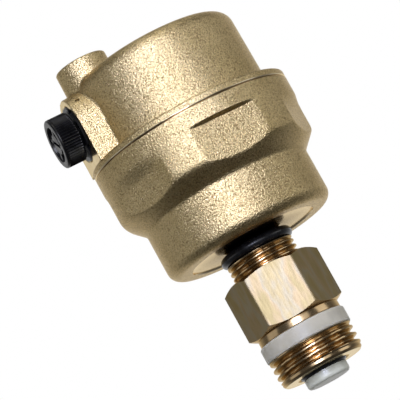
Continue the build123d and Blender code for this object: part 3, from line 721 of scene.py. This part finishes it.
def contour(field, low, high, cell):
    """Points and quads of the surface where field(x, y, z) is 0, its sharp edges kept.

    Each cell that the surface crosses gets one point, the best meeting of the planes at the
    crossings on its edges. Each crossed edge gets a quad between the four cells around it.
    """
    counts = np.ceil((np.array(high) - low) / cell).astype(int) + 1
    axes = [low[k] + cell * np.arange(counts[k]) for k in range(3)]
    value = field(*np.meshgrid(*axes, indexing="ij", sparse=True))
    inside = value < 0
    cell_of = np.arange(np.prod(counts)).reshape(counts)
    rows, quads = [], []
    for k in range(3):
        near = [slice(None)] * 3
        far = [slice(None)] * 3
        near[k], far[k] = slice(0, -1), slice(1, None)
        start, end = inside[tuple(near)], inside[tuple(far)]
        place = np.argwhere(start != end)
        v0, v1 = value[tuple(near)][start != end], value[tuple(far)][start != end]
        point = np.array(low) + cell * place
        point[:, k] += cell * v0 / (v0 - v1)
        normal = gradient(field, point, cell * SLOPE_STEP)
        u, v = (k + 1) % 3, (k + 2) % 3
        around = []
        for du, dv in ((0, 0), (-1, 0), (-1, -1), (0, -1)):
            corner = place.copy()
            corner[:, u] += du
            corner[:, v] += dv
            around.append(cell_of[tuple(corner.T)])
        around = np.stack(around, 1)
        flip = start[start != end]
        quads.append(np.where(flip[:, None], around, around[:, ::-1]))
        for column in range(4):
            rows.append(np.column_stack((around[:, column], point, normal)))
    rows, quads = np.concatenate(rows), np.concatenate(quads)
    used, slot = np.unique(rows[:, 0].astype(int), return_inverse=True)
    share = np.bincount(slot)[:, None]
    point, normal = rows[:, 1:4], rows[:, 4:7]
    mean = np.column_stack([np.bincount(slot, point[:, k]) for k in range(3)]) / share
    offset = np.einsum("ij,ij->i", normal, point - mean[slot])
    squares = np.empty((len(used), 3, 3))
    right = np.empty((len(used), 3))
    for i in range(3):
        right[:, i] = np.bincount(slot, normal[:, i] * offset)
        for j in range(3):
            squares[:, i, j] = np.bincount(slot, normal[:, i] * normal[:, j])
    squares += np.eye(3) * MEAN_PULL
    shift = np.linalg.solve(squares, right[..., None])[..., 0]
    points = mean + np.clip(shift, -LONGEST_MOVE * cell, LONGEST_MOVE * cell)
    return points, np.searchsorted(used, quads)


def gradient(field, point, step):
    """Unit gradient of field at points."""
    slopes = []
    for k in range(3):
        offset = np.zeros(3)
        offset[k] = step
        slopes.append(field(*(point + offset).T) - field(*(point - offset).T))
    slopes = np.column_stack(slopes)
    return slopes / np.linalg.norm(slopes, axis=1, keepdims=True)


def joined(a, b, fillet):
    """Union of two distance fields with a round fillet between them."""
    return np.maximum(fillet, np.minimum(a, b)) - np.hypot(
        np.maximum(fillet - a, 0), np.maximum(fillet - b, 0)
    )


def common(a, b, edge):
    """Intersection of two distance fields with a rounded edge."""
    return np.minimum(-edge, np.maximum(a, b)) + np.hypot(
        np.maximum(edge + a, 0), np.maximum(edge + b, 0)
    )


# ---------------------------------------------------------------- shut-off valve
def hex_angles():
    """Angles of the valve body's points, with a narrow facet along each corner of the hexagon."""
    corners = HEX_TURN + np.arange(6) * math.pi / 3
    sextant = np.linspace(HEX_FACET, math.pi / 3 - HEX_FACET, HEX_SIDE_POINTS)
    return np.sort(np.concatenate([corner + sextant for corner in corners]))


def hex_radius(angles):
    """Radius of the hexagon's sides in each direction."""
    from_middle = (angles - HEX_TURN) % (math.pi / 3) - math.pi / 6
    return HEX_APOTHEM / np.cos(from_middle)


def shape_valve(angles, radius, height):
    """Thread, and the hexagon's sides with bevels that are higher at its corners."""
    radius = cut_thread(
        angles, radius, height, G12_PITCH, LEAD_IN + 0.2, THREAD_TOP, RING_GROOVE_R + 0.01
    )
    side = np.broadcast_to(hex_radius(angles), radius.shape)
    rise = (side - HEX_BEVEL_R) * BEVEL
    on_side = radius > HEX_CORNER_R - 0.01
    share = (height - HEX_LOW - HEX_CORNER_RISE) / (HEX_HIGH - HEX_LOW - 2 * HEX_CORNER_RISE)
    along = HEX_LOW + rise + share * (HEX_HIGH - HEX_LOW - 2 * rise)
    return np.where(on_side, side, radius), np.where(on_side, along, height)


def valve_body():
    outline = rounded(
        (SEAT_MOUTH_R, 0),
        (NOSE_R, 0, 0.15),
        (LEAD_IN_R, NOSE_TOP, 0.3),
        (LEAD_IN_R, LEAD_IN),
        (G12_R, LEAD_IN + 0.3),
        (G12_R, THREAD_TOP),
        (RING_GROOVE_R, THREAD_TOP),
        (RING_GROOVE_R, RING_TOP),
        (SHANK_R, RING_TOP, 0.15),
        (SHANK_R, HEX_LOW - 0.1),
        (HEX_BEVEL_R, HEX_LOW),
        (HEX_CORNER_R, HEX_LOW + HEX_CORNER_RISE),
        (HEX_CORNER_R, HEX_HIGH - HEX_CORNER_RISE),
        (HEX_BEVEL_R, HEX_HIGH),
        (SOCKET_R + G38_NOSE, HEX_HIGH),
        (SOCKET_R, HEX_HIGH - G38_NOSE),
        (SOCKET_R, SOCKET_LOW),
        (SPRING_BORE_R, SOCKET_LOW),
        (SPRING_BORE_R, WEB_TOP),
        (SEAT_THROAT_R, WEB_TOP),
        (SEAT_THROAT_R, SEAT_HEIGHT),
    )
    outline = divided(outline, 0, THREAD_TOP, G12_STEP)
    thing = lathe("valve_body_detailed", outline, hex_angles(), shape_valve)

    def paint(centres, normals):
        """Turned all over, but for the hexagon's drawn sides and the bright end face."""
        radius, height = np.hypot(centres[:, 0], centres[:, 1]), centres[:, 2]
        upright = abs(normals[:, 2]) < 0.1
        side = (height > HEX_LOW + 0.02) & (radius > HEX_BEVEL_R) & upright
        end = (height < 0.12) & (radius > SEAT_MOUTH_R)
        return np.where(side, 1, np.where(end, 2, 0))

    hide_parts("valve_body")
    finished(thing, "check_valve", (turned, drawn, faced), paint)


def shutter_spring():
    """Coil spring with closed end turns, from the seat's web to the retainer."""
    low, high = spring_low[2] + SPRING_WIRE_R, spring_high[2] - SPRING_WIRE_R
    coil_r = spring_high[0] - SPRING_WIRE_R
    turns = np.linspace(0, SPRING_TURNS, SPRING_POINTS)
    free = np.clip((turns - SPRING_DEAD) / (SPRING_TURNS - 2 * SPRING_DEAD), 0, 1)
    dead = np.clip(turns, 0, SPRING_DEAD) + np.clip(turns - SPRING_TURNS + SPRING_DEAD, 0, 1)
    # dead turns rise by just over the wire's thickness each, the free ones by about the rest
    pitch = 2.1 * SPRING_WIRE_R
    lift = pitch * dead + (high - low - 1.8 * pitch) * free
    lift = low + lift * (high - low) / lift[-1]
    turn = turns * 2 * math.pi
    centre = np.column_stack((coil_r * np.cos(turn), coil_r * np.sin(turn), lift))
    along = np.gradient(centre, axis=0)
    along /= np.linalg.norm(along, axis=1, keepdims=True)
    outward = np.column_stack((np.cos(turn), np.sin(turn), 0 * turn))
    upward = np.cross(along, outward)
    ring = even_angles(SPRING_SIDES)[:, None, None]
    points = centre + SPRING_WIRE_R * (np.cos(ring) * outward + np.sin(ring) * upward)
    thing = tube("shutter_spring_coil", points.transpose(1, 0, 2), closed=False)
    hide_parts("shutter_spring")
    finished(thing, "check_valve", (steel,))
    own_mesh(thing)


# ---------------------------------------------------------------- float chamber
def shape_chamber(angles, radius, height):
    """Thread, and the forged wrench flats with the ledges where they end."""
    radius = cut_thread(
        angles, radius, height, G38_PITCH, SPIGOT_END + G38_NOSE, SPIGOT_THREAD_TOP, NECK_R + 0.01
    )
    from_middle = (angles - FLAT_TURN + math.pi / FLAT_COUNT) % (2 * math.pi / FLAT_COUNT)
    from_middle -= math.pi / FLAT_COUNT
    flat = np.broadcast_to(FLAT_APOTHEM / np.cos(from_middle), radius.shape)
    cut = (radius + flat - np.sqrt((radius - flat) ** 2 + FLAT_SOFTNESS * FLAT_SOFTNESS)) / 2
    number = np.round((angles - FLAT_TURN) / (2 * math.pi / FLAT_COUNT)) % FLAT_COUNT
    ledge = np.where(number == SHARP_FLAT, SHARP_LEDGE, SOFT_LEDGE)
    share = eased(np.clip((FLAT_TOP - height) / ledge, 0, 1))
    forged = radius + (np.minimum(cut, radius) - radius) * share
    outside = (radius > CHAMBER_R + 0.5) & (height > CONE_LOW)
    return np.where(outside, forged, radius), height


def float_chamber():
    outline = rounded(
        (SPIGOT_BORE_R, SPIGOT_END),
        (G38_R - G38_NOSE, SPIGOT_END),
        (G38_R, SPIGOT_END + G38_NOSE),
        (G38_R, SPIGOT_THREAD_TOP),
        (NECK_R, SPIGOT_THREAD_TOP + 0.3),
        (NECK_R, CHAMBER_LOW + FACE_RECESS, 1.2),
        (FACE_R, CHAMBER_LOW + FACE_RECESS),
        (FACE_R + FACE_EDGE, CHAMBER_LOW),
        (CHAMBER_R, CHAMBER_LOW, 2.6),
        (CHAMBER_R, CONE_LOW, 1.5),
        (FLANGE_R, CONE_HIGH, 3.0),
        (FLANGE_R, SEAM_Z, SEAM_EDGE),
        (SKIRT_BORE_R, SEAM_Z),
        (SKIRT_BORE_R, SKIRT_FLOOR),
        (CHAMBER_BORE_R, SKIRT_FLOOR),
        (CHAMBER_BORE_R, FLOOR_TOP),
        (SPIGOT_BORE_R, FLOOR_TOP),
    )
    outline = divided(outline, SPIGOT_END + G38_NOSE, SPIGOT_THREAD_TOP, G38_STEP)
    outline = fine_runs(outline)
    thing = lathe("float_chamber_forged", outline, even_angles(CHAMBER_ANGLES), shape_chamber)

    def paint(centres, normals):
        """Blasted outside, turned inside and on the spigot, and bright under the chamber.

        The bright face's material has a painted shadow that darkens towards the neck.
        """
        radius, height = np.hypot(centres[:, 0], centres[:, 1]), centres[:, 2]
        forged = (radius > CHAMBER_BORE_R + 0.1) & (height < SEAM_Z - SEAM_EDGE)
        inner = (radius < SKIRT_BORE_R + 0.05) & (height > SKIRT_FLOOR - 0.1)
        base = (radius > FACE_R + FACE_EDGE) & (height < CHAMBER_LOW + 2.5)
        face = (height > SPIGOT_THREAD_TOP + 0.2) & (height < CHAMBER_LOW + 1) & ~base
        return np.where((forged & ~inner) | base, 0, np.where(face, 2, 1))

    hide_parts("float_chamber")
    finished(thing, "vent", (blasted, turned, shaded), paint)


def fine_runs(outline):
    """The chamber's outline, cut finely on the outside where the wrench flats are and end."""
    rows = np.concatenate([np.arange(*row) for row in FLAT_ROWS])
    result = []
    for here, after in zip(outline, np.roll(outline, -1, axis=0)):
        result.append(here)
        if min(here[0], after[0]) < CHAMBER_R - 0.01 or here[1] < CONE_LOW - 2:
            continue
        run = after - here
        if abs(run[1]) < 0.3:
            continue
        low, high = sorted((here[1], after[1]))
        for height in rows[(rows > low + 0.03) & (rows < high - 0.03)]:
            result.append(here + run * (height - here[1]) / run[1])
    return np.array(result)


# ---------------------------------------------------------------- cover
def cover_field(x, y, z):
    """Distance in mm, negative inside, to the cover above its flange: dome, boss and chimney."""
    taper = (COVER_TOP_R - COVER_BASE_R) / (COVER_TOP - FLANGE_TOP)
    across = np.hypot(x, y) - (COVER_BASE_R + taper * (z - FLANGE_TOP)) + COVER_EDGE
    above = z - COVER_TOP + COVER_EDGE
    dome = (
        np.hypot(np.maximum(across, 0), np.maximum(above, 0))
        + np.minimum(np.maximum(across, above), 0)
        - COVER_EDGE
    )
    half_width = BOSS_HALF_WIDTH - BOSS_NARROWING + BOSS_DRAFT * (x - BOSS_FRONT)
    arch = np.hypot(y, np.maximum(z - BOSS_Z, 0)) - half_width
    boss = np.maximum(common(arch, BOSS_FRONT - x, BOSS_EDGE), x - BOSS_BACK)
    draft = CHIMNEY_DRAFT * (CHIMNEY_TOP - z)
    wall = np.hypot(x - CHIMNEY_X, y) - CHIMNEY_R - draft + CHIMNEY_NARROWING
    chimney = common(wall, z - CHIMNEY_TOP, CHIMNEY_EDGE)
    chimney = np.maximum(chimney, BOSS_Z - z)
    solid = joined(dome, boss, COVER_FILLET)
    solid = joined(solid, chimney, COVER_FILLET)
    return np.maximum(solid, FLANGE_TOP - COVER_OVERLAP - z)


def cover():
    low = np.array((BOSS_FRONT, -COVER_BASE_R, FLANGE_TOP - COVER_OVERLAP)) - COVER_MARGIN
    high = np.array((COVER_BASE_R, COVER_BASE_R, CHIMNEY_TOP)) + COVER_MARGIN
    points, quads = contour(cover_field, low + COVER_GRID_SHIFT, high, COVER_CELL)
    thing = mesh_of("cover_forged", points, quads.tolist())
    flange = rounded(
        (FLANGE_INSIDE_R, SKIRT_LOW),
        (SKIRT_R, SKIRT_LOW, 0.3),
        (SKIRT_R, COVER_RING_Z - COVER_RING_HALF),
        (COVER_RING_FLOOR, COVER_RING_Z - COVER_RING_HALF),
        (COVER_RING_FLOOR, COVER_RING_Z + COVER_RING_HALF),
        (SKIRT_R, COVER_RING_Z + COVER_RING_HALF),
        (SKIRT_R, FLANGE_LOW),
        (FLANGE_R, FLANGE_LOW, SEAM_EDGE),
        (FLANGE_R, FLANGE_TOP, 0.5),
        (FLANGE_INSIDE_R, FLANGE_TOP),
    )
    combine(thing, lathe("flange", flange, even_angles(FLANGE_ANGLES)), "UNION")
    cavity = rounded(
        (AXIS_R, SKIRT_LOW - BEYOND),
        (COVER_BORE_R, SKIRT_LOW - BEYOND),
        (COVER_BORE_R, COVER_ROOF - ROOF_BEVEL),
        (COVER_BORE_R - ROOF_BEVEL, COVER_ROOF),
        (AXIS_R, COVER_ROOF),
    )
    combine(thing, lathe("cavity", cavity, even_angles(TOOL_ANGLES), closed=False), "DIFFERENCE")
    combine(thing, rod("block", BLOCK_R, BLOCK_OUTER, BLOCK_INNER, about_boss), "UNION")
    mouth = rounded(
        (AXIS_R, BOSS_FRONT - BEYOND),
        (INSERT_BORE_R + MOUTH_BEVEL + BEYOND, BOSS_FRONT - BEYOND),
        (INSERT_BORE_R, BOSS_FRONT + MOUTH_BEVEL),
        (AXIS_R, BOSS_FRONT + MOUTH_BEVEL),
    )
    dimple_floor, past_boss = BOSS_HALF_WIDTH - DIMPLE_DEPTH, BOSS_HALF_WIDTH + BEYOND
    holes = (
        rod("insert_bore", INSERT_BORE_R, BOSS_FRONT - BEYOND, BLOCK_INNER + BEYOND, about_boss),
        lathe("mouth", mouth, even_angles(TOOL_ANGLES), place=about_boss, closed=False),
        rod("chimney_bore", CHIMNEY_BORE_R, BOSS_Z, CHIMNEY_TOP + BEYOND, about_chimney),
        rod("dimple", DIMPLE_R, dimple_floor, past_boss, at_dimple),
    )
    for hole in holes:
        combine(thing, hole, "DIFFERENCE")
    weld(thing, WELD_REACH)

    def paint(centres, normals):
        """Blasted outside; turned in the bores, on the boss's front and below the seam."""
        radius, height = np.hypot(centres[:, 0], centres[:, 1]), centres[:, 2]
        from_boss = np.hypot(centres[:, 1], height - BOSS_Z)
        from_chimney = np.hypot(centres[:, 0] - CHIMNEY_X, centres[:, 1])
        front = (abs(centres[:, 0] - BOSS_FRONT) < 0.03) & (height > FLANGE_TOP)
        bores = (from_boss < MOUTH_FACED_R) & (centres[:, 0] < BORES_INNER)
        bores |= (from_chimney < CHIMNEY_BORE_R + 0.05) & (height > BOSS_Z)
        cavity_wall = (radius < COVER_BORE_R + 0.02) & (height < COVER_ROOF)
        return front | bores | cavity_wall | (height < SEAM_Z + SEAM_EDGE)

    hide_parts("cover")
    finished(thing, "vent", (blasted, faced), paint, crease=38)


def about_chimney(points):
    """Points drawn about Z, moved onto the chimney's axis."""
    return points + np.array((CHIMNEY_X, 0, 0))


def at_dimple(points):
    """Points drawn about Z, turned to stand on the boss's shoulder."""
    tilt = math.radians(DIMPLE_TILT)
    y = points[..., 1] * math.cos(tilt) - points[..., 2] * math.sin(tilt)
    z = points[..., 1] * math.sin(tilt) + points[..., 2] * math.cos(tilt)
    return np.stack((points[..., 0] + DIMPLE_X, y, z + BOSS_Z), -1)


def rod(name, radius, start, end, place):
    """A closed cylinder between two heights, put where place says."""
    outline = np.array(((AXIS_R, start), (radius, start), (radius, end), (AXIS_R, end)))
    return lathe(name, outline, even_angles(TOOL_ANGLES), place=place, closed=False)


# ---------------------------------------------------------------- vent cap
def shape_cap(angles, radius, height):
    """Ribs round the knob, with a smooth rounded rim before them."""
    fade = np.clip((height - KNURL_START) / KNURL_RUN_IN, 0, 1)
    fade = fade * np.clip((KNURL_END - height) / KNURL_RUN_OUT, 0, 1)
    groove = np.abs(2 * (angles * KNURL_COUNT / (2 * math.pi) % 1) - 1)
    ribbed = radius - KNURL_DEPTH * groove * fade
    return np.where((radius > KNOB_R - 0.3) & (height < KNURL_END), ribbed, radius), height


def vent_cap():
    outline = rounded(
        (AXIS_R, KNOB_OUTER + HUB_RECESS),
        (HUB_R, KNOB_OUTER + HUB_RECESS, 0.15),
        (DISH_IN_R, KNOB_OUTER + DISH_DEPTH),
        (DISH_OUT_R, KNOB_OUTER + DISH_DEPTH),
        (DISH_RIM_R, KNOB_OUTER, 0.15),
        (KNOB_R, KNOB_OUTER, 0.45),
        (KNOB_R, KNOB_INNER, 0.25),
        (CAP_STEM_R, KNOB_INNER),
        (CAP_STEM_R, CAP_RING_X - CAP_RING_HALF),
        (CAP_STEM_R - CAP_RING_DEPTH, CAP_RING_X - CAP_RING_HALF),
        (CAP_STEM_R - CAP_RING_DEPTH, CAP_RING_X + CAP_RING_HALF),
        (CAP_STEM_R, CAP_RING_X + CAP_RING_HALF),
        (CAP_STEM_R, CAP_RING_X + 1.4),
        (CAP_TIP_R, CAP_RING_X + 1.9),
        (CAP_TIP_R, cap_high[0] - CAP_TIP_BEVEL),
        (CAP_TIP_R - CAP_TIP_BEVEL, cap_high[0]),
        (AXIS_R, cap_high[0]),
    )
    outline = divided(outline, KNOB_OUTER + 0.4, KNOB_INNER - 0.2, KNURL_STEP)
    angles = even_angles(KNURL_COUNT * KNURL_POINTS)
    thing = lathe("vent_cap_ribbed", outline, angles, shape_cap, about_boss, closed=False)
    for turn in range(SLOT_TURN, 360, 90):
        bridge = box_at("bridge", BRIDGE_SIZE, turn, BRIDGE_R, KNOB_OUTER + BRIDGE_MIDDLE)
        combine(thing, bridge, "UNION")
    slot = box_at("slot", SLOT_SIZE, SLOT_TURN, 0, KNOB_OUTER + SLOT_MIDDLE)
    combine(thing, slot, "DIFFERENCE")
    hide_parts("vent_cap")
    finished(thing, "cap", (plastic,), crease=30)


def box_at(name, size, turn, out, depth):
    """A block on the knob's face: thick along the axis, long away from it and wide across it."""
    thick, length, width = size
    ends = (-0.5, 0.5)
    corners = np.array([(a, b, c) for a in ends for b in ends for c in ends])
    a = math.radians(turn)
    along = corners[:, 1] * length + out
    across = corners[:, 2] * width
    points = np.column_stack((
        corners[:, 0] * thick + depth,
        along * math.cos(a) - across * math.sin(a),
        BOSS_Z + along * math.sin(a) + across * math.cos(a),
    ))
    faces = [(0, 1, 3, 2), (4, 6, 7, 5), (0, 4, 5, 1), (2, 3, 7, 6), (0, 2, 6, 4), (1, 5, 7, 3)]
    return mesh_of(name, points, faces)


# ---------------------------------------------------------------- scene
bpy.context.scene.view_settings.view_transform = "Standard"
add_camera()
add_world()
add_floor()
for softbox in SOFTBOXES:
    add_softbox(*softbox)

blasted, drawn = blasted_brass(), drawn_brass()
turned = turned_brass("turned_brass", (0.40, 0.285, 0.155), (0.54, 0.395, 0.225))
faced = turned_brass("faced_brass", (0.80, 0.70, 0.50), (0.90, 0.82, 0.63))
# shaded_brass is faced brass with a painted shadow, darker towards the axis round the neck
shaded = turned_brass("shaded_brass", (0.70, 0.59, 0.42), (0.80, 0.70, 0.53), (0.16, 0.11, 0.06))
nylon, white, float_white = white_nylon(), white_plastic(), float_plastic()
plastic, rubber, steel = black_plastic(), black_rubber(), spring_steel()

valve_body()
shutter_spring()
float_chamber()
cover()
vent_cap()

node_materials = {
    "sealing_ring": nylon,
    "shutter": white,
    "shutter_o_ring": rubber,
    "spring_retainer": white,
    "spigot_o_ring": rubber,
    "cover_o_ring": rubber,
    "valve_insert": plastic,
    "insert_o_rings": rubber,
    "cap_o_ring": rubber,
    "float_shell": float_white,
    "float_lid": float_white,
    "float_hook": white,
    "lever": white,
    "lever_pad": rubber,
    "lever_pin": steel,
    "lever_bracket": steel,
    "bracket_screws": steel,
}
for node, material in node_materials.items():
    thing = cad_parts[node]
    thing.data.materials.clear()
    thing.data.materials.append(material)
